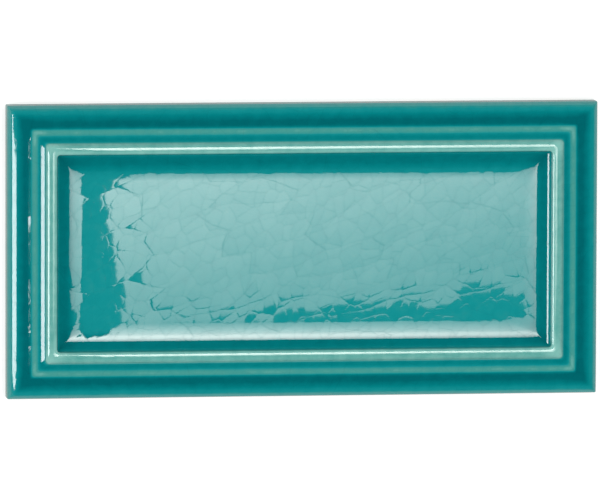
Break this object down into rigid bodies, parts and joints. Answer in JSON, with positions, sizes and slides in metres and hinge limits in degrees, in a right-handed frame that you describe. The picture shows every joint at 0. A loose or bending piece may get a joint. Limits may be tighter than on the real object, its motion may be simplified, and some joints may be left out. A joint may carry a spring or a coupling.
{
  "type": "framed crackle glaze wall tile",
  "caption": "Rectangular ceramic wall tile in a glossy teal crackle glaze: a stepped moulding with a raised bead frames a sunk flat field, and the back is grooved for adhesive.",
  "frame": {"origin": "middle of the back, on the plane that the tile lies on", "axes": "+Z out of the glazed face, +X along the long side, +Y along the short side"},
  "size_m": [0.198, 0.098, 0.0134],
  "materials": {
    "glaze": "glossy transparent teal crackle glaze on fired earthenware"
  },
  "bodies": {
    "root": {"tile": "glaze"}
  },
  "joints": []
}
